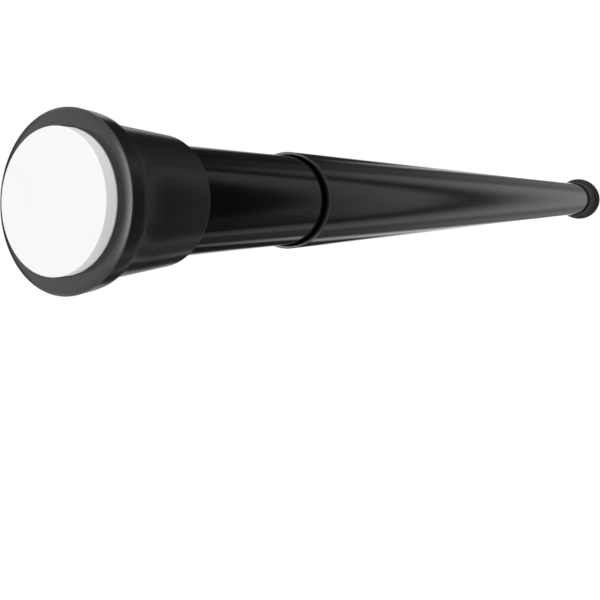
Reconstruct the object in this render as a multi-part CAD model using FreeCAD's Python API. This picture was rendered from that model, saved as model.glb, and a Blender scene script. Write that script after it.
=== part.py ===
# Telescopic tension rod: a screw inside lengthens it when the thin tube is twisted,
# and a spring behind the screw presses its two padded ends against the walls.
import FreeCAD
import Part
import math
import os

os.makedirs("parts", exist_ok=True)

# Millimetres. The rod lies along X. The fixed pad meets its wall at x = 0, and the moving
# end points to +X. Everything is at the setting in which the rod lies at rest.
rest_length = 620.0
shorten = 20.0
spring_stroke = 15.0

# Tubes, rolled from thin steel
outer_tube_radius = 14.0
outer_tube_wall = 0.6
inner_tube_wall = 0.6
telescope_gap = 0.6
bare_inner_length = 55.0

# End caps, a larger one at the fixed end, over the thicker tube, and the same pad in each face
cap_length = 27.2
fixed_cap_length = 36.0
cap_web = 4.0
flange_rise = 3.95
fixed_flange_rise = 4.6
flange_taper = 0.5
flange_depth = 4.9
shoulder_depth = 3.8
shoulder_rise = 1.9
sleeve_rise = 0.7
fixed_sleeve_rise = 1.2
face_edge_round = 0.3
sleeve_edge_round = 0.3
face_ring_width = 3.65
pocket_depth = 1.5
pad_gap = 0.2
pad_proud = 2.55
pad_edge_round = 0.25
stud_radius = 3.0
barb_rise = 1.0
barb_length = 1.6

# Bush in the outer tube's mouth
bush_length = 18.0
bush_fit_gap = 0.02
lip_length = 1.2
lip_edge_round = 0.3
bush_running_gap = 0.06
mouth_relief = 0.35
mouth_relief_depth = 2.0

# Plug that anchors the screw in the far end of the outer tube
plug_inset = 2.0
plug_wall = 4.8
plug_edge = 0.6
chamber_gap = 1.0
boss_length = 3.0
anchor_pin_radius = 1.5
anchor_pin_place = 11.4
anchor_pin_floor = 0.6

# Screw, its key flat and the nuts and washers on its two ends
screw_radius = 3.95
screw_running_gap = 0.05
key_flat_depth = 1.0
key_flat_reach = 2.0
screw_end_edge = 0.8
tail_clearance = 1.8
tail_stub = 2.0
nut_wall = 2.55
nut_length = 6.0
washer_rim = 4.05
washer_gap = 0.25
washer_thickness = 1.2

# Compression spring and the seat pinned to the screw
spring_wire_radius = 0.9
spring_mean_radius = 9.5
spring_turns = 7
spring_fit_gap = 0.4
spring_installed_length = 36.0
seat_rim = 0.6
seat_flange_length = 4.0
seat_hub_wall = 3.05
seat_hub_length = 6.0
seat_pin_radius = 1.25

# Nut fixed in the end of the inner tube, and the split ring that it carries
nut_to_seat_gap = 10.0
drive_flange_length = 12.0
drive_flange_gap = 0.3
drive_edge = 0.5
shank_length = 20.0
drive_pin_radius = 1.5
drive_pin_length = 6.5
ring_length = 6.0
ring_depth = 1.6
ring_side_gap = 0.1
ring_running_gap = 0.06
ring_split = 2.0

# Disc that keeps the screw's tip in the middle of the inner tube, and the room left
# between the screw and the moving end's stud when the rod is at its shortest
tip_room = 44.7
tip_guide_length = 6.0
tip_guide_gap = 0.3
tip_guide_edge = 0.5

# Radii that follow from those
outer_bore = outer_tube_radius - outer_tube_wall
inner_tube_radius = outer_bore - telescope_gap
inner_bore = inner_tube_radius - inner_tube_wall
flange_radius = outer_tube_radius + flange_rise
fixed_flange_radius = outer_tube_radius + fixed_flange_rise
pocket_radius = flange_radius - face_ring_width
washer_radius = screw_radius + washer_rim
chamber_radius = washer_radius + chamber_gap
boss_radius = spring_mean_radius - spring_wire_radius - spring_fit_gap
seat_hub_radius = screw_radius + seat_hub_wall
drive_flange_radius = outer_bore - drive_flange_gap
ring_floor_radius = drive_flange_radius - ring_depth

# Places along the rod, from the fixed end to the moving end
fixed_face_x = pad_proud
outer_start_x = fixed_face_x + cap_web
plug_start_x = outer_start_x + plug_inset
screw_start_x = outer_start_x + barb_length + tail_clearance + spring_stroke
tail_nut_x = screw_start_x + tail_stub
tail_washer_x = tail_nut_x + nut_length
plug_wall_x = tail_washer_x + washer_thickness
plug_end_x = plug_wall_x + plug_wall
seat_x = plug_end_x + spring_installed_length
seat_end_x = seat_x + seat_flange_length + seat_hub_length
drive_start_x = seat_end_x + shorten + nut_to_seat_gap
inner_start_x = drive_start_x + drive_flange_length
shank_end_x = inner_start_x + shank_length
moving_face_x = rest_length - pad_proud
inner_end_x = moving_face_x - cap_web
screw_end_x = inner_end_x - barb_length - shorten - tip_room
tip_nut_x = screw_end_x - tail_stub - nut_length
tip_washer_x = tip_nut_x - washer_thickness
tip_guide_x = tip_washer_x - tip_guide_length
mouth_x = moving_face_x - cap_length - bare_inner_length
outer_end_x = mouth_x - lip_length
anchor_pin_x = plug_start_x + anchor_pin_place
drive_pin_x = inner_start_x + shank_length / 2

origin = FreeCAD.Vector(0, 0, 0)
along = FreeCAD.Vector(1, 0, 0)


def turned(outline):
    # a solid turned about the rod's axis from (x, radius) points
    corners = [FreeCAD.Vector(x, radius, 0) for x, radius in outline]
    face = Part.Face(Part.makePolygon(corners + corners[:1]))
    return face.revolve(origin, along, 360)


def bar(start_x, end_x, radius):
    return Part.makeCylinder(radius, end_x - start_x, FreeCAD.Vector(start_x, 0, 0), along)


def pipe(start_x, end_x, radius, bore):
    return bar(start_x, end_x, radius).cut(bar(start_x, end_x, bore))


def rounded(shape, x, radius, size):
    # the shape with its circular edge at this x and radius rounded
    rims = []
    for edge in shape.Edges:
        curve = edge.Curve
        if isinstance(curve, Part.Circle) and abs(curve.Radius - radius) < 1e-4:
            if abs(curve.Center.x - x) < 1e-4:
                rims.append(edge)
    return shape.makeFillet(size, rims)


def pin_pair(x, inner, outer, pin_radius):
    # two pins on opposite sides of the axis, along Y
    pins = []
    for side in (1, -1):
        foot = FreeCAD.Vector(x, side * inner, 0)
        pins.append(Part.makeCylinder(pin_radius, outer - inner, foot, FreeCAD.Vector(0, side, 0)))
    return pins


def flush_height(radius, pin_radius):
    # how far out a flat-ended pin reaches before its rim meets a cylinder of this radius
    return math.sqrt(radius**2 - pin_radius**2)


def hexagon_nut(x):
    corner = (screw_radius + nut_wall) / math.cos(math.pi / 6)
    corners = []
    for i in range(6):
        turn = math.radians(60 * i)
        corners.append(FreeCAD.Vector(x, corner * math.cos(turn), corner * math.sin(turn)))
    blank = Part.Face(Part.makePolygon(corners + corners[:1])).extrude(along * nut_length)
    return blank.cut(bar(x, x + nut_length, screw_radius))


def washer(x):
    return pipe(x, x + washer_thickness, washer_radius, screw_radius + washer_gap)


def at_moving_end(shape):
    # a piece of the fixed end, turned to face the other wall
    turned_round = shape.copy()
    turned_round.rotate(origin, FreeCAD.Vector(0, 0, 1), 180)
    turned_round.translate(FreeCAD.Vector(rest_length, 0, 0))
    return turned_round


def end_cap(tube_radius, radius, length, rise):
    # flange with a slightly tapered side, sloped shoulder, long sleeve over the tube
    sleeve_radius = outer_tube_radius + rise
    side_end_x = fixed_face_x + flange_depth
    sleeve_end_x = fixed_face_x + length
    cap = turned(
        [
            (fixed_face_x, 0),
            (fixed_face_x, radius),
            (side_end_x, radius - flange_taper),
            (side_end_x + shoulder_depth, outer_tube_radius + shoulder_rise),
            (sleeve_end_x, sleeve_radius),
            (sleeve_end_x, 0),
        ]
    )
    cap = rounded(cap, fixed_face_x, radius, face_edge_round)
    cap = rounded(cap, sleeve_end_x, sleeve_radius, min(sleeve_edge_round, 0.7 * rise))
    cap = cap.cut(bar(fixed_face_x, fixed_face_x + pocket_depth, pocket_radius))
    cap = cap.cut(bar(fixed_face_x, outer_start_x, stud_radius))
    return cap.cut(bar(outer_start_x, sleeve_end_x, tube_radius))


def wall_pad():
    # rubber disc with a barbed stud that is pushed through the cap's web
    pad_radius = pocket_radius - pad_gap
    pad = bar(0, fixed_face_x + pocket_depth, pad_radius)
    pad = rounded(pad, 0, pad_radius, pad_edge_round)
    barb_end_x = outer_start_x + barb_length
    stud = turned(
        [
            (fixed_face_x + pocket_depth, 0),
            (fixed_face_x + pocket_depth, stud_radius),
            (outer_start_x, stud_radius),
            (outer_start_x, stud_radius + barb_rise),
            (barb_end_x, stud_radius),
            (barb_end_x, 0),
        ]
    )
    return pad.fuse(stud).removeSplitter()


def outer_tube():
    tube = pipe(outer_start_x, outer_end_x, outer_tube_radius, outer_bore)
    for drill in pin_pair(anchor_pin_x, 0, 2 * outer_tube_radius, anchor_pin_radius):
        tube = tube.cut(drill)
    return tube


def inner_tube():
    tube = pipe(inner_start_x, inner_end_x, inner_tube_radius, inner_bore)
    for drill in pin_pair(drive_pin_x, 0, 2 * inner_tube_radius, drive_pin_radius):
        tube = tube.cut(drill)
    return tube


def mouth_bush():
    # lip flush with the tube outside, sleeve inside, bore opened out at the mouth
    bore = inner_tube_radius + bush_running_gap
    mouth_bore = inner_tube_radius + mouth_relief
    bush_start_x = mouth_x - bush_length
    bush = turned(
        [
            (bush_start_x, bore),
            (bush_start_x, outer_bore - bush_fit_gap),
            (outer_end_x, outer_bore - bush_fit_gap),
            (outer_end_x, outer_tube_radius),
            (mouth_x, outer_tube_radius),
            (mouth_x, mouth_bore),
            (mouth_x - mouth_relief_depth, mouth_bore),
            (mouth_x - mouth_relief_depth - mouth_relief, bore),
        ]
    )
    return rounded(bush, mouth_x, outer_tube_radius, lip_edge_round)


def key_block(start_x, end_x, flat_height):
    # what the key flat leaves out of a round bar, above this height
    side = 4 * screw_radius
    corner = FreeCAD.Vector(start_x, -side / 2, flat_height)
    return Part.makeBox(end_x - start_x, side, side, corner)


def anchor_plug():
    # chamber for the screw's tail, and a wall with a keyed hole that stops it turning
    front_x = plug_end_x + boss_length
    plug = turned(
        [
            (plug_start_x, chamber_radius),
            (plug_start_x, outer_bore),
            (plug_end_x - plug_edge, outer_bore),
            (plug_end_x, outer_bore - plug_edge),
            (plug_end_x, boss_radius),
            (front_x, boss_radius),
            (front_x, 0),
            (plug_wall_x, 0),
            (plug_wall_x, chamber_radius),
        ]
    )
    flat_height = screw_radius - key_flat_depth + 2 * screw_running_gap
    hole = bar(plug_wall_x, front_x, screw_radius + screw_running_gap)
    hole = hole.cut(key_block(plug_wall_x, front_x, flat_height))
    plug = plug.cut(hole)
    for drill in pin_pair(anchor_pin_x, chamber_radius + anchor_pin_floor, outer_bore, anchor_pin_radius):
        plug = plug.cut(drill)
    return plug


def anchor_pins():
    top = flush_height(outer_tube_radius, anchor_pin_radius)
    return Part.makeCompound(
        pin_pair(anchor_pin_x, chamber_radius + anchor_pin_floor, top, anchor_pin_radius)
    )


def seat_pin():
    x = seat_end_x - seat_hub_length / 2
    reach = flush_height(seat_hub_radius, seat_pin_radius)
    return Part.makeCylinder(
        seat_pin_radius, 2 * reach, FreeCAD.Vector(x, 0, -reach), FreeCAD.Vector(0, 0, 1)
    )


def lead_screw():
    small = screw_radius - screw_end_edge
    screw = turned(
        [
            (screw_start_x, 0),
            (screw_start_x, small),
            (screw_start_x + screw_end_edge, screw_radius),
            (screw_end_x - screw_end_edge, screw_radius),
            (screw_end_x, small),
            (screw_end_x, 0),
        ]
    )
    flat_end_x = plug_end_x + boss_length + spring_stroke + key_flat_reach
    screw = screw.cut(key_block(tail_washer_x, flat_end_x, screw_radius - key_flat_depth))
    return screw.cut(seat_pin())


def compression_spring():
    # a plain helix with its two ends ground flat against the plug and the seat
    pitch = (spring_installed_length - 2 * spring_wire_radius) / (spring_turns - 1)
    helix = Part.makeHelix(pitch, spring_installed_length + pitch, spring_mean_radius)
    slope = FreeCAD.Vector(0, 2 * math.pi * spring_mean_radius, pitch)
    wire_section = Part.Wire(
        Part.makeCircle(spring_wire_radius, FreeCAD.Vector(spring_mean_radius, 0, 0), slope)
    )
    coil = Part.Wire(helix).makePipeShell([wire_section], True, True)
    coil.rotate(origin, FreeCAD.Vector(0, 1, 0), 90)
    coil.translate(FreeCAD.Vector(plug_end_x - pitch / 2, 0, 0))
    return coil.common(bar(plug_end_x, seat_x, spring_mean_radius + 2 * spring_wire_radius))


def spring_seat():
    seat_radius = spring_mean_radius + spring_wire_radius + seat_rim
    seat = turned(
        [
            (seat_x - boss_length, screw_radius),
            (seat_x - boss_length, boss_radius),
            (seat_x, boss_radius),
            (seat_x, seat_radius),
            (seat_x + seat_flange_length, seat_radius),
            (seat_x + seat_flange_length, seat_hub_radius),
            (seat_end_x, seat_hub_radius),
            (seat_end_x, screw_radius),
        ]
    )
    return seat.cut(seat_pin())


def drive_nut():
    # flange with the ring's groove outside the inner tube, shank pinned inside it
    bore = screw_radius + screw_running_gap
    groove_x = drive_start_x + (drive_flange_length - ring_length) / 2 - ring_side_gap
    groove_end_x = groove_x + ring_length + 2 * ring_side_gap
    nut = turned(
        [
            (drive_start_x, bore),
            (drive_start_x, drive_flange_radius - drive_edge),
            (drive_start_x + drive_edge, drive_flange_radius),
            (groove_x, drive_flange_radius),
            (groove_x, ring_floor_radius),
            (groove_end_x, ring_floor_radius),
            (groove_end_x, drive_flange_radius),
            (inner_start_x, drive_flange_radius),
            (inner_start_x, inner_bore),
            (shank_end_x - drive_edge, inner_bore),
            (shank_end_x, inner_bore - drive_edge),
            (shank_end_x, bore),
        ]
    )
    top = flush_height(inner_tube_radius, drive_pin_radius)
    for drill in pin_pair(drive_pin_x, top - drive_pin_length, top, drive_pin_radius):
        nut = nut.cut(drill)
    return nut


def drive_nut_pins():
    top = flush_height(inner_tube_radius, drive_pin_radius)
    return Part.makeCompound(pin_pair(drive_pin_x, top - drive_pin_length, top, drive_pin_radius))


def glide_ring():
    x = drive_start_x + (drive_flange_length - ring_length) / 2
    ring = pipe(x, x + ring_length, outer_bore - ring_running_gap, ring_floor_radius + ring_side_gap)
    slot = Part.makeBox(
        ring_length, ring_split, outer_bore, FreeCAD.Vector(x, -ring_split / 2, -outer_bore)
    )
    return ring.cut(slot)


def tip_guide():
    radius = inner_bore - tip_guide_gap
    return turned(
        [
            (tip_guide_x, screw_radius),
            (tip_guide_x, radius - tip_guide_edge),
            (tip_guide_x + tip_guide_edge, radius),
            (tip_washer_x - tip_guide_edge, radius),
            (tip_washer_x, radius - tip_guide_edge),
            (tip_washer_x, screw_radius),
        ]
    )


pieces = {
    "outer_tube": outer_tube(),
    "fixed_end_cap": end_cap(
        outer_tube_radius, fixed_flange_radius, fixed_cap_length, fixed_sleeve_rise
    ),
    "fixed_wall_pad": wall_pad(),
    "mouth_bush": mouth_bush(),
    "anchor_plug": anchor_plug(),
    "anchor_pins": anchor_pins(),
    "compression_spring": compression_spring(),
    "lead_screw": lead_screw(),
    "tail_nut": hexagon_nut(tail_nut_x),
    "tail_washer": washer(tail_washer_x),
    "spring_seat": spring_seat(),
    "seat_pin": seat_pin(),
    "tip_guide": tip_guide(),
    "tip_washer": washer(tip_washer_x),
    "tip_nut": hexagon_nut(tip_nut_x),
    "glide_ring": glide_ring(),
    "inner_tube": inner_tube(),
    "drive_nut": drive_nut(),
    "drive_nut_pins": drive_nut_pins(),
    "moving_end_cap": at_moving_end(
        end_cap(inner_tube_radius, flange_radius, cap_length, sleeve_rise)
    ),
    "moving_wall_pad": at_moving_end(wall_pad()),
}

for name, shape in pieces.items():
    shape.exportStep(f"parts/{name}.step")
    print(f"{name}: {len(shape.Solids)} solid(s), {shape.Volume / 1000:.3f} cm3, valid {shape.isValid()}")
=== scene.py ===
import bmesh
import bpy
import math
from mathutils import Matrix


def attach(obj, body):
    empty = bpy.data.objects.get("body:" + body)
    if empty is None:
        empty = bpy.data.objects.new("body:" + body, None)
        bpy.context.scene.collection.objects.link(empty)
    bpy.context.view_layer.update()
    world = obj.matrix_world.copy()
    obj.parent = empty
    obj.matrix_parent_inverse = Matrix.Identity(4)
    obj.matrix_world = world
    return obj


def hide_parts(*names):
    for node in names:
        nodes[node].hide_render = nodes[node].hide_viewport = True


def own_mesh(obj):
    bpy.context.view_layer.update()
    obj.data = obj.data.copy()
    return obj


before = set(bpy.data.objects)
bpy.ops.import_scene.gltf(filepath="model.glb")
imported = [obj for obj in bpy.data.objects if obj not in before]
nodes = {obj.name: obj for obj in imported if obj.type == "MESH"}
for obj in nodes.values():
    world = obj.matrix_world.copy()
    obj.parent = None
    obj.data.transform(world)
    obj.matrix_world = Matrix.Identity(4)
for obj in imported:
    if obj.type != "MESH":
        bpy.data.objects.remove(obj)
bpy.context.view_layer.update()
bpy.ops.object.select_all(action="DESELECT")
print("packed model loaded:", len(nodes), "nodes")

mm = 0.001
weldReach = 1e-6
ringSlack = 5e-6
axisTurn = (0, math.pi / 2, 0)  # stands a circle across the rod


def near(value, target):
    return abs(value - target) < ringSlack


def distanceFromAxis(point):
    return math.hypot(point.y, point.z)


def selectEdges(rule):
    mesh = bmesh.from_edit_mesh(bpy.context.object.data)
    for edge in mesh.edges:
        edge.select_set(rule(edge))
    mesh.select_flush_mode()
    bmesh.update_edit_mesh(bpy.context.object.data)


def onRing(x, radius):
    # true for the edges of the ring at this place, in millimetres
    def rule(edge):
        for corner in edge.verts:
            if not near(corner.co.x, x * mm):
                return False
            if not near(distanceFromAxis(corner.co), radius * mm):
                return False
        return True
    return rule


def finishMesh(piece, sharpAngle=35):
    bpy.ops.object.mode_set(mode="OBJECT")
    bpy.ops.object.shade_smooth_by_angle(angle=math.radians(sharpAngle))
    bpy.ops.object.modifier_add(type="WEIGHTED_NORMAL")
    piece.modifiers[-1].keep_sharp = True
    piece.modifiers[-1].weight = 100
    bpy.ops.object.modifier_apply(modifier=piece.modifiers[-1].name)
    piece.select_set(False)


def turnPiece(name, outline, rounds=(), solid=False, steps=192):
    # a ring drawn along an outline of (x, radius) in millimetres, then its edges rounded;
    # a round is the x and radius of its edge, its size and its segments
    x, radius = outline[0]
    bpy.ops.mesh.primitive_circle_add(
        vertices=steps, radius=radius * mm, location=(x * mm, 0, 0), rotation=axisTurn
    )
    piece = bpy.context.object
    piece.name = name
    piece.data.name = name
    bpy.ops.object.transform_apply(location=True, rotation=True, scale=True)
    bpy.ops.object.mode_set(mode="EDIT")
    bpy.ops.mesh.select_mode(type="EDGE")
    bpy.ops.mesh.select_all(action="SELECT")
    if solid:
        bpy.ops.mesh.edge_face_add()
        bpy.ops.mesh.select_all(action="SELECT")
    path = list(outline[1:])
    if not solid:
        path.append(outline[0])
    for nextX, nextRadius in path:
        bpy.ops.mesh.extrude_region_move(
            TRANSFORM_OT_translate={"value": ((nextX - x) * mm, 0, 0)}
        )
        grow = nextRadius / radius
        bpy.ops.transform.resize(value=(1, grow, grow), center_override=(nextX * mm, 0, 0))
        x, radius = nextX, nextRadius
    bpy.ops.mesh.select_all(action="SELECT")
    bpy.ops.mesh.remove_doubles(threshold=weldReach)
    bpy.ops.mesh.normals_make_consistent(inside=False)
    for ringX, ringRadius, size, segments in rounds:
        selectEdges(onRing(ringX, ringRadius))
        bpy.ops.mesh.bevel(
            offset=size * mm, segments=segments, affect="EDGES", clamp_overlap=False
        )
    return piece


def turnToMovingEnd():
    # the piece in edit mode, made at the fixed end, is turned round to the other wall
    bpy.ops.mesh.select_all(action="SELECT")
    bpy.ops.transform.rotate(
        value=math.pi, orient_axis="Z", center_override=(rod["length"] * mm / 2, 0, 0)
    )


def fitPiece(piece, material, body, slot, *replaced):
    piece.data.materials.clear()
    piece.data.materials.append(material)
    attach(piece, body)
    if replaced:
        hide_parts(*replaced)


def addMath(tree, operation, first, second=0.5):
    node = tree.nodes.new("ShaderNodeMath")
    node.operation = operation
    for socket, value in zip(node.inputs, (first, second)):
        if isinstance(value, (int, float)):
            socket.default_value = value
        else:
            tree.links.new(value, socket)
    return node.outputs[0]


def addFade(tree, value, start, end, low=0.0, high=1.0):
    # low before start, high after end, with a smooth step between them
    node = tree.nodes.new("ShaderNodeMapRange")
    node.interpolation_type = "SMOOTHSTEP"
    tree.links.new(value, node.inputs["Value"])
    node.inputs["From Min"].default_value = start
    node.inputs["From Max"].default_value = end
    node.inputs["To Min"].default_value = low
    node.inputs["To Max"].default_value = high
    return node.outputs[0]


def addNoise(tree, place, scale, detail=2.0, roughness=0.5):
    node = tree.nodes.new("ShaderNodeTexNoise")
    node.inputs["Scale"].default_value = scale
    node.inputs["Detail"].default_value = detail
    node.inputs["Roughness"].default_value = roughness
    tree.links.new(place, node.inputs["Vector"])
    return node.outputs["Fac"]


noiseSpan = (0.3, 0.7)


def addRange(tree, value, low, high):
    # most of a noise lies in its span, which is spread from low to high
    node = tree.nodes.new("ShaderNodeMapRange")
    tree.links.new(value, node.inputs["Value"])
    node.inputs["From Min"].default_value = noiseSpan[0]
    node.inputs["From Max"].default_value = noiseSpan[1]
    node.inputs["To Min"].default_value = low
    node.inputs["To Max"].default_value = high
    return node.outputs[0]


def addMix(tree, factor, first, second):
    node = tree.nodes.new("ShaderNodeMix")
    node.data_type = "RGBA"
    tree.links.new(factor, node.inputs["Factor"])
    node.inputs[6].default_value = (*first, 1)
    node.inputs[7].default_value = (*second, 1)
    return node.outputs[2]


def addBump(tree, height, strength, distance, under=None):
    node = tree.nodes.new("ShaderNodeBump")
    node.inputs["Strength"].default_value = strength
    node.inputs["Distance"].default_value = distance
    tree.links.new(height, node.inputs["Height"])
    if under:
        tree.links.new(under, node.inputs["Normal"])
    return node.outputs[0]


def newMaterial(name, shader):
    # a Principled material with these fixed values, and the Object coordinates to draw on
    material = bpy.data.materials.new(name)
    material.use_nodes = True
    tree = material.node_tree
    surface = tree.nodes["Principled BSDF"]
    for socket, value in shader.items():
        surface.inputs[socket].default_value = value
    place = tree.nodes.new("ShaderNodeTexCoord").outputs["Object"]
    return material, tree, surface, place


def stretched(tree, place, scale):
    node = tree.nodes.new("ShaderNodeMapping")
    node.inputs["Scale"].default_value = scale
    tree.links.new(place, node.inputs["Vector"])
    return node.outputs[0]


# colours are linear; cloud and grain are scale, detail and roughness; bump is strength and metres
def makeFinish(name, finish):
    material, tree, surface, place = newMaterial(name, finish["shader"])
    cloud = addNoise(tree, place, *finish["cloud"])
    if "stretch" in finish:
        place = stretched(tree, place, finish["stretch"])
    grain = addNoise(tree, place, *finish["grain"])
    colour = addMix(tree, cloud, finish["dark"], finish["light"])
    tree.links.new(colour, surface.inputs["Base Color"])
    tree.links.new(addRange(tree, cloud, *finish["gloss"]), surface.inputs["Roughness"])
    tree.links.new(addBump(tree, grain, *finish["bump"]), surface.inputs["Normal"])
    return material, tree, surface


# sprayed and baked: drawing lines of the tube under a slight orange peel
enamel = {
    "shader": {"IOR": 1.5},
    "dark": (0.0007, 0.0007, 0.0008),
    "light": (0.0014, 0.0014, 0.0016),
    "gloss": (0.055, 0.085),
    "cloud": (60.0, 3.0),
    "grain": (900.0, 2.0),
    "stretch": (0.05, 1.0, 1.0),
    "bump": (0.15, 0.0000015),
    "peel": (700.0, 1.0),
    "peelBump": (0.3, 0.0000015),
}


def makeEnamel():
    material, tree, surface = makeFinish("glossBlackEnamel", enamel)
    place = tree.nodes["Texture Coordinate"].outputs["Object"]
    peel = addNoise(tree, place, *enamel["peel"])
    lines = surface.inputs["Normal"].links[0].from_socket
    tree.links.new(addBump(tree, peel, *enamel["peelBump"], lines), surface.inputs["Normal"])
    return material


capPlastic = {
    "shader": {"IOR": 1.5},
    "dark": (0.0058, 0.0058, 0.0062),
    "light": (0.0087, 0.0087, 0.0092),
    "gloss": (0.16, 0.21),
    "cloud": (90.0, 3.0),
    "grain": (3500.0, 2.0),
    "bump": (0.3, 0.000005),
}

# the larger cap has a duller skin
fixedCapPlastic = {**capPlastic, "gloss": (0.43, 0.49)}

bushPlastic = {
    "shader": {"IOR": 1.5},
    "dark": (0.006, 0.006, 0.0065),
    "light": (0.010, 0.010, 0.0105),
    "gloss": (0.14, 0.20),
    "cloud": (120.0, 3.0),
    "grain": (3000.0, 2.0),
    "bump": (0.2, 0.000006),
}

padRubber = {
    "shader": {"IOR": 1.45},
    "dark": (0.793, 0.803, 0.808),
    "light": (0.833, 0.843, 0.848),
    "gloss": (0.5, 0.6),
    "cloud": (110.0, 4.0, 0.6),
    "grain": (2600.0, 2.0),
    "bump": (0.2, 0.00001),
}

zincPlate = {
    "shader": {"Metallic": 1.0},
    "dark": (0.52, 0.53, 0.56),
    "light": (0.66, 0.67, 0.69),
    "gloss": (0.24, 0.38),
    "cloud": (220.0, 4.0, 0.6),
    "grain": (2400.0, 3.0),
    "stretch": (0.06, 1.0, 1.0),
    "bump": (0.25, 0.000008),
}

springWire = {
    "shader": {"Metallic": 1.0},
    "dark": (0.34, 0.34, 0.35),
    "light": (0.46, 0.46, 0.47),
    "gloss": (0.28, 0.42),
    "cloud": (500.0, 3.0),
    "grain": (4000.0, 2.0),
    "bump": (0.3, 0.000006),
}

acetal = {
    "shader": {"IOR": 1.48},
    "dark": (0.82, 0.81, 0.77),
    "light": (0.87, 0.86, 0.82),
    "gloss": (0.34, 0.46),
    "cloud": (140.0, 4.0, 0.6),
    "grain": (2800.0, 2.0),
    "bump": (0.25, 0.000008),
}

blackEnamel = makeEnamel()
blackCap = makeFinish("mouldedBlackPlastic", capPlastic)[0]
dullBlackCap = makeFinish("dullBlackPlastic", fixedCapPlastic)[0]
blackBush = makeFinish("satinBlackBush", bushPlastic)[0]
whiteRubber = makeFinish("whitePadRubber", padRubber)[0]
zincSteel = makeFinish("zincPlatedSteel", zincPlate)[0]
springSteel = makeFinish("drawnSpringSteel", springWire)[0]
naturalAcetal = makeFinish("naturalAcetal", acetal)[0]
print("finishes ready")


rod = {"length": 620.0}

outerTubeSizes = {"start": 6.55, "end": 534.05, "radius": 14.0, "bore": 13.4, "burr": 0.08}
innerTubeSizes = {"start": 126.95, "end": 613.45, "radius": 12.8, "bore": 12.2, "burr": 0.08}


def makeTube(name, size):
    outline = [
        (size["start"], size["radius"]),
        (size["end"], size["radius"]),
        (size["end"], size["bore"]),
        (size["start"], size["bore"]),
    ]
    rounds = [(x, radius, size["burr"], 2) for x, radius in outline]
    tube = turnPiece(name, outline, rounds)
    finishMesh(tube)
    return tube


bushSizes = {
    "start": 517.25,
    "shelf": 534.05,
    "mouth": 535.25,
    "bore": 12.86,
    "sleeve": 13.38,
    "lip": 14.0,
    "leadEnd": 534.35,
    "mouthBore": 13.27,
    "lipRound": 0.12,
    "edge": 0.06,
    "startRound": 0.2,
}


def makeMouthBush():
    size = bushSizes
    outline = [
        (size["start"], size["bore"]),
        (size["start"], size["sleeve"]),
        (size["shelf"], size["sleeve"]),
        (size["shelf"], size["lip"]),
        (size["mouth"], size["lip"]),
        (size["mouth"], size["mouthBore"]),
        (size["leadEnd"], size["mouthBore"]),
        (size["leadEnd"] - size["mouthBore"] + size["bore"], size["bore"]),
    ]
    rounds = [
        (size["mouth"], size["lip"], size["lipRound"], 5),
        (size["mouth"], size["mouthBore"], size["edge"], 3),
        (size["shelf"], size["lip"], size["edge"], 2),
        (size["start"], size["sleeve"], size["startRound"], 2),
    ]
    bush = turnPiece("mouthBush", outline, rounds)
    finishMesh(bush)
    fitPiece(bush, blackBush, "outer", "black_bush", "mouth_bush")
    print("mouth bush made")


capSizes = {
    "face": 2.55,
    "rim": 2.65,
    "pocketFloor": 4.05,
    "webBack": 6.55,
    "sideBend": 6.15,
    "sideEnd": 7.45,
    "stepFoot": 7.7,
    "neck": 10.0,
    "shoulder": 13.0,
    "sleeveEnd": 29.75,
    "studHole": 3.0,
    "pocket": 14.3,
    "crown": 16.5,
    "flange": 17.95,
    "bendRadius": 17.68,
    "flangeBack": 17.45,
    "footRadius": 16.4,
    "neckRadius": 16.03,
    "shoulderRadius": 15.74,
    "sleeve": 14.7,
    "crownRound": 0.6,
    "rimRound": 0.15,
    "pocketRound": 0.12,
    "bendRound": 0.5,
    "backRound": 0.14,
    "footRound": 0.3,
    "neckRound": 1.2,
    "endRound": 0.65,
    "boreRound": 0.1,
}

# the fixed end's cap is the larger one, with a longer sleeve over the thicker tube
fixedCapSizes = {
    **capSizes,
    "sleeveEnd": 38.55,
    "crown": 17.15,
    "flange": 18.6,
    "bendRadius": 18.33,
    "flangeBack": 18.1,
    "footRadius": 16.4,
    "neckRadius": 16.0,
    "shoulderRadius": 15.8,
    "sleeve": 15.2,
    "endRound": 0.5,
}


def makeEndCap(name, size, tubeRadius, movingEnd):
    outline = [
        (size["pocketFloor"], size["studHole"]),
        (size["pocketFloor"], size["pocket"]),
        (size["face"], size["pocket"]),
        (size["face"], size["crown"]),
        (size["rim"], size["flange"]),
        (size["sideBend"], size["bendRadius"]),
        (size["sideEnd"], size["flangeBack"]),
        (size["stepFoot"], size["footRadius"]),
        (size["neck"], size["neckRadius"]),
        (size["shoulder"], size["shoulderRadius"]),
        (size["sleeveEnd"], size["sleeve"]),
        (size["sleeveEnd"], tubeRadius),
        (size["webBack"], tubeRadius),
        (size["webBack"], size["studHole"]),
    ]
    rounds = [
        (size["face"], size["crown"], size["crownRound"], 5),
        (size["rim"], size["flange"], size["rimRound"], 6),
        (size["face"], size["pocket"], size["pocketRound"], 3),
        (size["sideBend"], size["bendRadius"], size["bendRound"], 4),
        (size["sideEnd"], size["flangeBack"], size["backRound"], 5),
        (size["stepFoot"], size["footRadius"], size["footRound"], 5),
        (size["neck"], size["neckRadius"], size["neckRound"], 5),
        (size["shoulder"], size["shoulderRadius"], size["neckRound"], 5),
        (size["sleeveEnd"], size["sleeve"], size["endRound"], 8),
        (size["sleeveEnd"], tubeRadius, size["boreRound"], 2),
    ]
    cap = turnPiece(name, outline, rounds)
    if movingEnd:
        turnToMovingEnd()
    finishMesh(cap)
    return cap


padSizes = {
    "face": 0.0,
    "back": 4.05,
    "web": 6.55,
    "barbEnd": 8.15,
    "radius": 14.1,
    "stud": 3.0,
    "barb": 4.0,
    "edgeRound": 0.15,
    "barbRound": 0.2,
}


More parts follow.
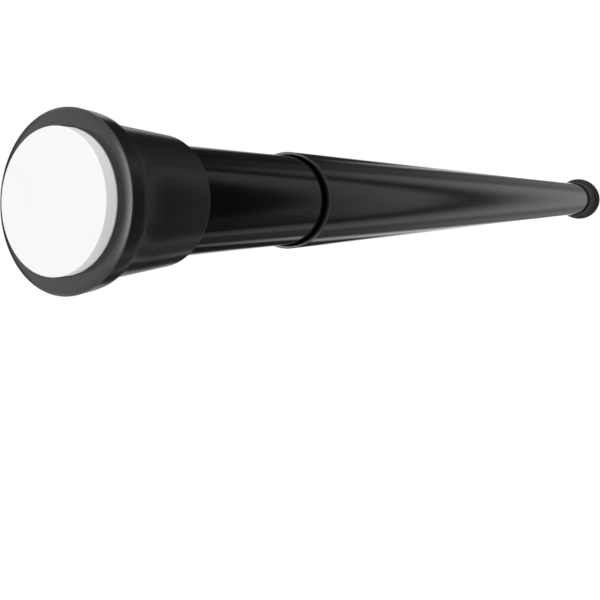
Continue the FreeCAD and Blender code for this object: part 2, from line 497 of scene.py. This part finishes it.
def makeWallPad(name, movingEnd):
    size = padSizes
    outline = [
        (size["face"], size["radius"]),
        (size["back"], size["radius"]),
        (size["back"], size["stud"]),
        (size["web"], size["stud"]),
        (size["web"], size["barb"]),
        (size["barbEnd"], size["stud"]),
    ]
    rounds = [
        (size["face"], size["radius"], size["edgeRound"], 5),
        (size["back"], size["radius"], size["edgeRound"], 2),
        (size["web"], size["barb"], size["barbRound"], 2),
    ]
    pad = turnPiece(name, outline, rounds, solid=True)
    if movingEnd:
        turnToMovingEnd()
    finishMesh(pad)
    return pad


def drawProfile(name, points):
    # an open line through (x, radius) points in millimetres, standing on the rod's axis
    bpy.ops.mesh.primitive_plane_add(size=mm)
    line = bpy.context.object
    line.name = name
    line.data.name = name
    bpy.ops.object.mode_set(mode="EDIT")
    bpy.ops.mesh.select_mode(type="VERT")
    bpy.ops.mesh.select_all(action="SELECT")
    bpy.ops.mesh.merge(type="CENTER")
    x, radius = points[0]
    bpy.ops.transform.translate(value=(x * mm, 0, radius * mm))
    for nextX, nextRadius in points[1:]:
        bpy.ops.mesh.extrude_region_move(
            TRANSFORM_OT_translate={"value": ((nextX - x) * mm, 0, (nextRadius - radius) * mm)}
        )
        x, radius = nextX, nextRadius
    bpy.ops.object.mode_set(mode="OBJECT")
    return line


def windAlongRod(piece, lead, turns, steps):
    # the outline is swept round the rod's axis and forward by lead millimetres a turn
    bpy.ops.object.modifier_add(type="SCREW")
    winding = piece.modifiers[-1]
    winding.axis = "X"
    winding.angle = 2 * math.pi
    winding.screw_offset = lead * mm
    winding.iterations = turns
    winding.steps = steps
    winding.render_steps = steps
    bpy.ops.object.modifier_apply(modifier=winding.name)


def cutToLength(startX, endX):
    # in edit mode: both ends are cut square at these places, in millimetres, and closed
    bpy.ops.mesh.select_all(action="SELECT")
    bpy.ops.mesh.bisect(
        plane_co=(startX * mm, 0, 0), plane_no=(1, 0, 0), use_fill=True, clear_inner=True
    )
    bpy.ops.mesh.select_all(action="SELECT")
    bpy.ops.mesh.bisect(
        plane_co=(endX * mm, 0, 0), plane_no=(1, 0, 0), use_fill=True, clear_outer=True
    )
    bpy.ops.mesh.select_all(action="SELECT")
    bpy.ops.mesh.normals_make_consistent(inside=False)


def combine(piece, tool, operation):
    # the tool is used up
    bpy.ops.object.select_all(action="DESELECT")
    bpy.context.view_layer.objects.active = piece
    piece.select_set(True)
    bpy.ops.object.modifier_add(type="BOOLEAN")
    piece.modifiers[-1].operation = operation
    piece.modifiers[-1].object = tool
    piece.modifiers[-1].solver = "EXACT"
    bpy.ops.object.modifier_apply(modifier=piece.modifiers[-1].name)
    bpy.data.objects.remove(tool)


screwSizes = {
    "start": 24.95,
    "end": 547.15,
    "crest": 3.95,
    "root": 3.3,
    "pitch": 4.0,
    "starts": 2,
    "rootHalf": 1.2,
    "crestHalf": 0.4,
    "turnsBefore": 1.5,
    "turnsOver": 1,
    "steps": 36,
    "endChamfer": 0.8,
    "flatStart": 32.95,
    "flatEnd": 58.95,
    "flatHeight": 2.95,
    "millHeight": 4.0,
    "millWidth": 12.0,
    "spare": 2.0,
    "skim": 0.005,
    "blankSteps": 64,
}


def makeLeadScrew():
    size = screwSizes
    pitch = size["pitch"]
    lead = pitch * size["starts"]
    firstX = size["start"] - size["turnsBefore"] * lead
    points = [(firstX, size["root"])]
    for tooth in range(size["starts"]):
        middle = firstX + (tooth + 0.5) * pitch
        rise = pitch / 2 - size["rootHalf"]
        points.append((middle - rise, size["root"]))
        points.append((middle - size["crestHalf"], size["crest"]))
        points.append((middle + size["crestHalf"], size["crest"]))
        points.append((middle + rise, size["root"]))
    points.append((firstX + lead, size["root"]))
    screw = drawProfile("leadScrew", points)
    turns = math.ceil((size["end"] - firstX) / lead) + size["turnsOver"]
    windAlongRod(screw, lead, turns, size["steps"])
    bpy.ops.object.mode_set(mode="EDIT")
    bpy.ops.mesh.select_all(action="SELECT")
    bpy.ops.mesh.remove_doubles(threshold=weldReach)
    cutToLength(size["start"] - size["spare"], size["end"] + size["spare"])
    bpy.ops.object.mode_set(mode="OBJECT")

    # the ends are turned down to a chamfer, then the key flat is milled
    over = size["crest"] + size["skim"]
    outline = [
        (size["start"], size["crest"] - size["endChamfer"]),
        (size["start"] + size["endChamfer"], over),
        (size["end"] - size["endChamfer"], over),
        (size["end"], size["crest"] - size["endChamfer"]),
    ]
    blank = turnPiece("screwBlank", outline, solid=True, steps=size["blankSteps"])
    bpy.ops.object.mode_set(mode="OBJECT")
    combine(screw, blank, "INTERSECT")
    flatLength = size["flatEnd"] - size["flatStart"]
    flatMiddle = (size["flatStart"] + size["flatEnd"]) / 2
    millMiddle = size["flatHeight"] + size["millHeight"] / 2
    bpy.ops.mesh.primitive_cube_add(
        size=1,
        location=(flatMiddle * mm, 0, millMiddle * mm),
        scale=(flatLength * mm, size["millWidth"] * mm, size["millHeight"] * mm),
    )
    combine(screw, bpy.context.object, "DIFFERENCE")
    bpy.ops.object.mode_set(mode="EDIT")
    bpy.ops.mesh.select_all(action="SELECT")
    bpy.ops.mesh.dissolve_degenerate(threshold=weldReach)
    finishMesh(screw, sharpAngle=30)
    fitPiece(screw, zincSteel, "screw", "zinc_steel", "lead_screw")
    print("lead screw made")


springSizes = {
    "start": 38.95,
    "end": 74.95,
    "pressed": 21.0,
    "wire": 0.9,
    "radius": 9.5,
    "turns": 7,
    "turnsBefore": 1.5,
    "turnsOver": 3,
    "sides": 20,
    "steps": 72,
    "blankSteps": 64,
}


def makeSpring():
    size = springSizes
    length = size["end"] - size["start"]
    pitch = (length - 2 * size["wire"]) / (size["turns"] - 1)
    firstX = size["start"] - size["turnsBefore"] * pitch
    bpy.ops.mesh.primitive_circle_add(
        vertices=size["sides"],
        radius=size["wire"] * mm,
        location=(firstX * mm, 0, size["radius"] * mm),
        rotation=(math.pi / 2, 0, 0),
    )
    spring = bpy.context.object
    spring.name = "pressureSpring"
    spring.data.name = "pressureSpring"
    bpy.ops.object.transform_apply(location=True, rotation=True, scale=True)
    turns = math.ceil(length / pitch) + size["turnsOver"]
    windAlongRod(spring, pitch, turns, size["steps"])
    bpy.ops.object.mode_set(mode="EDIT")
    bpy.ops.mesh.select_all(action="SELECT")
    bpy.ops.mesh.fill_holes(sides=0)
    bpy.ops.mesh.select_all(action="SELECT")
    bpy.ops.mesh.normals_make_consistent(inside=False)
    bpy.ops.object.mode_set(mode="OBJECT")

    # both ends are ground flat
    reach = size["radius"] + 2 * size["wire"]
    outline = [(size["start"], reach), (size["end"], reach)]
    blank = turnPiece("springBlank", outline, solid=True, steps=size["blankSteps"])
    bpy.ops.object.mode_set(mode="OBJECT")
    combine(spring, blank, "INTERSECT")
    bpy.ops.object.mode_set(mode="EDIT")
    finishMesh(spring, sharpAngle=40)
    fitPiece(spring, springSteel, "outer", "spring_steel", "compression_spring")
    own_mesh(spring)
    print("spring made")


nutSizes = {
    "length": 6.0,
    "flat": 6.5,
    "bore": 3.95,
    "boreLead": 0.5,
    "cornerDrop": 0.5,
    "skim": 0.01,
    "spare": 2.0,
    "tailStart": 26.95,
    "tipStart": 539.15,
    "steps": 96,
}


def makeNut(name, start, node):
    size = nutSizes
    end = start + size["length"]
    corner = size["flat"] / math.cos(math.pi / 6)
    drop = size["cornerDrop"]
    outline = [
        (start, size["bore"] + size["boreLead"]),
        (start, corner - 2 * drop),
        (start + drop, corner + size["skim"]),
        (end - drop, corner + size["skim"]),
        (end, corner - 2 * drop),
        (end, size["bore"] + size["boreLead"]),
        (end - size["boreLead"], size["bore"]),
        (start + size["boreLead"], size["bore"]),
    ]
    nut = turnPiece(name, outline, steps=size["steps"])
    bpy.ops.object.mode_set(mode="OBJECT")
    bpy.ops.mesh.primitive_cylinder_add(
        vertices=6,
        radius=corner * mm,
        depth=(size["length"] + size["spare"]) * mm,
        location=((start + end) / 2 * mm, 0, 0),
        rotation=axisTurn,
    )
    combine(nut, bpy.context.object, "INTERSECT")
    bpy.ops.object.mode_set(mode="EDIT")
    finishMesh(nut, sharpAngle=25)
    fitPiece(nut, zincSteel, "screw", "zinc_steel", node)


washerSizes = {
    "thickness": 1.2,
    "radius": 8.0,
    "bore": 4.2,
    "edge": 0.25,
    "boreEdge": 0.15,
    "tailStart": 32.95,
    "tipStart": 537.95,
    "steps": 96,
}


def makeWasher(name, start, node):
    size = washerSizes
    end = start + size["thickness"]
    outline = [
        (start, size["radius"]),
        (end, size["radius"]),
        (end, size["bore"]),
        (start, size["bore"]),
    ]
    rounds = [
        (start, size["radius"], size["edge"], 3),
        (end, size["radius"], size["edge"], 3),
        (end, size["bore"], size["boreEdge"], 2),
        (start, size["bore"], size["boreEdge"], 2),
    ]
    washer = turnPiece(name, outline, rounds, steps=size["steps"])
    finishMesh(washer)
    fitPiece(washer, zincSteel, "screw", "zinc_steel", node)


outerTube = makeTube("outerTube", outerTubeSizes)
fitPiece(outerTube, blackEnamel, "outer", "black_tube", "outer_tube")
innerTube = makeTube("innerTube", innerTubeSizes)
fitPiece(innerTube, blackEnamel, "inner", "black_tube", "inner_tube")
print("tubes made")
makeMouthBush()
fixedCap = makeEndCap("fixedCap", fixedCapSizes, outerTubeSizes["radius"], False)
fitPiece(fixedCap, dullBlackCap, "outer", "black_cap", "fixed_end_cap")
movingCap = makeEndCap("movingCap", capSizes, innerTubeSizes["radius"], True)
fitPiece(movingCap, blackCap, "inner", "black_cap", "moving_end_cap")
print("end caps made")
fixedPad = makeWallPad("fixedPad", False)
fitPiece(fixedPad, whiteRubber, "outer", "white_pad", "fixed_wall_pad")
movingPad = makeWallPad("movingPad", True)
fitPiece(movingPad, whiteRubber, "inner", "white_pad", "moving_wall_pad")
print("wall pads made")
makeLeadScrew()
makeSpring()
makeNut("tailNut", nutSizes["tailStart"], "tail_nut")
makeNut("tipNut", nutSizes["tipStart"], "tip_nut")
makeWasher("tailWasher", washerSizes["tailStart"], "tail_washer")
makeWasher("tipWasher", washerSizes["tipStart"], "tip_washer")
print("nuts and washers made")

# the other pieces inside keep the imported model's shape and get their finish here
carriedOver = {
    "anchor_plug": naturalAcetal,
    "spring_seat": naturalAcetal,
    "tip_guide": naturalAcetal,
    "drive_nut": naturalAcetal,
    "glide_ring": naturalAcetal,
    "anchor_pins": zincSteel,
    "seat_pin": zincSteel,
    "drive_nut_pins": zincSteel,
}
for name, material in carriedOver.items():
    for materialSlot in nodes[name].material_slots:
        materialSlot.material = material


# a soft box is its strength, then left, right, bottom and top, each as the two places between
# which the light fades, measured beside and above the rod's axis for one step along it
studio = {
    "backdrop": 1.0,
    "leastDepth": 0.02,
    "wall": 0.035,
    "behind": [
        (0.12, (-0.254, -0.014), (0.204, 0.317), (-1.31, -0.41), (0.15, 1.05)),
        (0.10, (-0.300, -0.060), (-0.140, 0.160), (-0.57, -0.21), (-0.08, 0.47)),
        (0.21, (0.038, 0.136), (0.154, 0.293), (-1.41, -0.83), (0.23, 0.94)),
        (0.17, (0.307, 0.381), (0.408, 0.708), (-0.58, 0.13), (1.10, 1.15)),
        (0.13, (0.259, 0.350), (0.506, 0.627), (-0.56, -0.26), (0.52, 1.29)),
        (1.00, (-0.362, -0.229), (-0.277, -0.133), (-1.09, -0.29), (-0.35, -0.09)),
        (0.67, (-0.346, -0.234), (-0.283, -0.159), (0.15, 0.19), (0.25, 0.52)),
        (1.00, (-1.160, -1.060), (-0.900, -0.820), (-0.60, -0.20), (0.05, 0.60)),
        (1.00, (-0.900, -0.820), (-0.653, -0.527), (-0.54, -0.18), (-0.08, 0.60)),
        (1.00, (-0.537, -0.465), (-0.229, -0.130), (-0.30, -0.11), (0.02, 0.28)),
        (0.08, (0.268, 0.345), (0.440, 0.740), (-1.08, -0.19), (-0.53, -0.39)),
        (1.00, (-0.330, -0.270), (-0.150, -0.115), (-0.12, -0.08), (0.08, 0.12)),
        (0.60, (-1.300, -1.150), (-0.760, -0.580), (0.34, 0.54), (1.40, 1.90)),
        (0.48, (-1.300, -1.150), (-0.760, -0.580), (-1.70, -1.30), (-0.60, -0.36)),
    ],
    "around": 0.7,
    "aroundFade": (2.2, 4.0),
    "front": 0.44,
    "sides": 1.35,
    "aboveAndBelow": 1.6,
    "leftEdge": (-1.80, -1.45, 0.1, 1.0),
    "rightGap": (0.85, (-0.22, -0.08), (2.00, 3.50), (-0.60, -0.30), (0.30, 0.60)),
    "before": [
        (4.60, (-0.82, -0.72), (-0.50, -0.42), (-0.24, -0.14), (0.14, 0.24)),
        (0.50, (-1.90, -1.60), (-1.00, -0.85), (-0.40, -0.25), (0.25, 0.40)),
        (2.40, (-1.75, -1.45), (-0.95, -0.70), (0.42, 0.55), (0.75, 0.95)),
        (2.40, (-1.75, -1.45), (-0.95, -0.70), (-0.95, -0.75), (-0.55, -0.42)),
    ],
    "changeOver": (-0.02, 0.10),
}


def makeStudioLight():
    # tall soft boxes and dark gaps between them, drawn on the direction of the light
    world = bpy.data.worlds.new("studio")
    bpy.context.scene.world = world
    world.use_nodes = True
    tree = world.node_tree
    direction = tree.nodes.new("ShaderNodeTexCoord").outputs["Generated"]
    split = tree.nodes.new("ShaderNodeSeparateXYZ")
    tree.links.new(direction, split.inputs[0])
    alongRod, sideways, upwards = split.outputs
    depth = addMath(tree, "MAXIMUM", addMath(tree, "ABSOLUTE", alongRod), studio["leastDepth"])
    across = addMath(tree, "DIVIDE", sideways, depth)
    height = addMath(tree, "DIVIDE", upwards, depth)

    def softBox(strength, left, right, bottom, top):
        total = addFade(tree, across, left[0], left[1])
        for part in (
            addFade(tree, across, right[1], right[0]),
            addFade(tree, height, bottom[0], bottom[1]),
            addFade(tree, height, top[1], top[0]),
        ):
            total = addMath(tree, "MULTIPLY", total, part)
        return addMath(tree, "MULTIPLY", total, strength)

    def addBoxes(light, boxes):
        for box in boxes:
            light = addMath(tree, "ADD", light, softBox(*box))
        return light

    # beyond the far end: the wall, its boxes, and soft light from the far side, above and below
    behind = addBoxes(studio["wall"], studio["behind"])
    farSide = addMath(tree, "MULTIPLY", across, -1.0)
    outwards = addMath(tree, "MAXIMUM", farSide, addMath(tree, "ABSOLUTE", height))
    around = addFade(tree, outwards, *studio["aroundFade"], 0.0, studio["around"])
    behind = addMath(tree, "ADD", behind, around)

    # before the near end: soft fill, stronger from the sides, less at the left and right, and boxes
    fromSide = addMath(tree, "SUBTRACT", 1.0, alongRod)
    fill = addMath(tree, "MULTIPLY", fromSide, studio["sides"])
    fill = addMath(tree, "ADD", fill, studio["front"])
    steep = addMath(tree, "MULTIPLY", upwards, upwards)
    steep = addMath(tree, "MULTIPLY", steep, studio["aboveAndBelow"])
    fill = addMath(tree, "ADD", fill, steep)
    fill = addMath(tree, "MULTIPLY", fill, addFade(tree, across, *studio["leftEdge"]))
    outsideGap = addMath(tree, "SUBTRACT", 1.0, softBox(*studio["rightGap"]))
    fill = addMath(tree, "MULTIPLY", fill, outsideGap)
    before = addBoxes(fill, studio["before"])

    mixed = tree.nodes.new("ShaderNodeMix")
    mixed.data_type = "FLOAT"
    tree.links.new(addFade(tree, alongRod, *studio["changeOver"]), mixed.inputs["Factor"])
    tree.links.new(behind, mixed.inputs["A"])
    tree.links.new(before, mixed.inputs["B"])

    # the camera itself sees a white backdrop
    light = tree.nodes["Background"]
    tree.links.new(mixed.outputs[0], light.inputs["Color"])
    light.inputs["Strength"].default_value = 1.0
    backdrop = tree.nodes.new("ShaderNodeBackground")
    backdrop.inputs["Color"].default_value = (1, 1, 1, 1)
    backdrop.inputs["Strength"].default_value = studio["backdrop"]
    seen = tree.nodes.new("ShaderNodeLightPath").outputs["Is Camera Ray"]
    choose = tree.nodes.new("ShaderNodeMixShader")
    tree.links.new(seen, choose.inputs[0])
    tree.links.new(light.outputs[0], choose.inputs[1])
    tree.links.new(backdrop.outputs[0], choose.inputs[2])
    tree.links.new(choose.outputs[0], tree.nodes["World Output"].inputs["Surface"])


floorPaper = {
    "radius": 0.9,
    "sides": 96,
    "drop": 1.2,
    "shader": {"Roughness": 0.8},
    "pale": (0.86, 0.86, 0.86),
    "paler": (0.8858, 0.8858, 0.8858),
    "grain": (30.0, 4.0),
    "fade": (0.2, 0.85),
}


def makeFloor():
    bpy.ops.mesh.primitive_circle_add(
        vertices=floorPaper["sides"],
        radius=floorPaper["radius"],
        fill_type="NGON",
        location=(rod["length"] * mm / 2, 0, -floorPaper["drop"]),
    )
    floor = bpy.context.object
    floor.name = "floor"
    material, tree, surface, place = newMaterial("floorPaper", floorPaper["shader"])
    grain = addNoise(tree, place, *floorPaper["grain"])
    colour = addMix(tree, grain, floorPaper["pale"], floorPaper["paler"])
    tree.links.new(colour, surface.inputs["Base Color"])

    # towards its edge the floor goes over into the white backdrop
    span = tree.nodes.new("ShaderNodeVectorMath")
    span.operation = "LENGTH"
    tree.links.new(place, span.inputs[0])
    edge = addFade(tree, span.outputs["Value"], *floorPaper["fade"])
    seen = tree.nodes.new("ShaderNodeLightPath").outputs["Is Camera Ray"]
    white = tree.nodes.new("ShaderNodeEmission")
    white.inputs["Strength"].default_value = studio["backdrop"]
    blend = tree.nodes.new("ShaderNodeMixShader")
    tree.links.new(addMath(tree, "MULTIPLY", edge, seen), blend.inputs[0])
    tree.links.new(surface.outputs[0], blend.inputs[1])
    tree.links.new(white.outputs[0], blend.inputs[2])
    tree.links.new(blend.outputs[0], tree.nodes["Material Output"].inputs["Surface"])
    floor.data.materials.append(material)
    floor.select_set(False)


backLamp = {"power": 3.4, "size": 0.3, "place": (-0.7, -0.05, 0.12)}


def makeBackLamp():
    # lights the fixed end's pad; black plastic and enamel don't mirror it
    bpy.ops.object.light_add(
        type="AREA", location=backLamp["place"], rotation=(0, -math.pi / 2, 0)
    )
    lamp = bpy.context.object
    lamp.name = "backLamp"
    lamp.data.energy = backLamp["power"]
    lamp.data.size = backLamp["size"]
    lamp.visible_camera = False
    lamp.visible_glossy = False
    lamp.select_set(False)


cameraSetup = {
    "lens": 42.504,
    "shift": (0.0, -0.225),
    "place": (0.7112, 0.1060, 0.0005),
    "tilt": 92.699,
    "heading": 119.94,
    "sensor": 36,
    "sight": (0.01, 50),
}


def makeCamera():
    tilt = math.radians(cameraSetup["tilt"])
    heading = math.radians(cameraSetup["heading"])
    bpy.ops.object.camera_add(location=cameraSetup["place"], rotation=(tilt, 0, heading))
    camera = bpy.context.object
    camera.name = "camera"
    camera.data.lens = cameraSetup["lens"]
    camera.data.sensor_width = cameraSetup["sensor"]
    camera.data.shift_x, camera.data.shift_y = cameraSetup["shift"]
    camera.data.clip_start, camera.data.clip_end = cameraSetup["sight"]
    bpy.context.scene.camera = camera
    camera.select_set(False)


makeStudioLight()
makeFloor()
makeBackLamp()
makeCamera()
bpy.context.scene.view_settings.view_transform = "Standard"
print("studio ready")
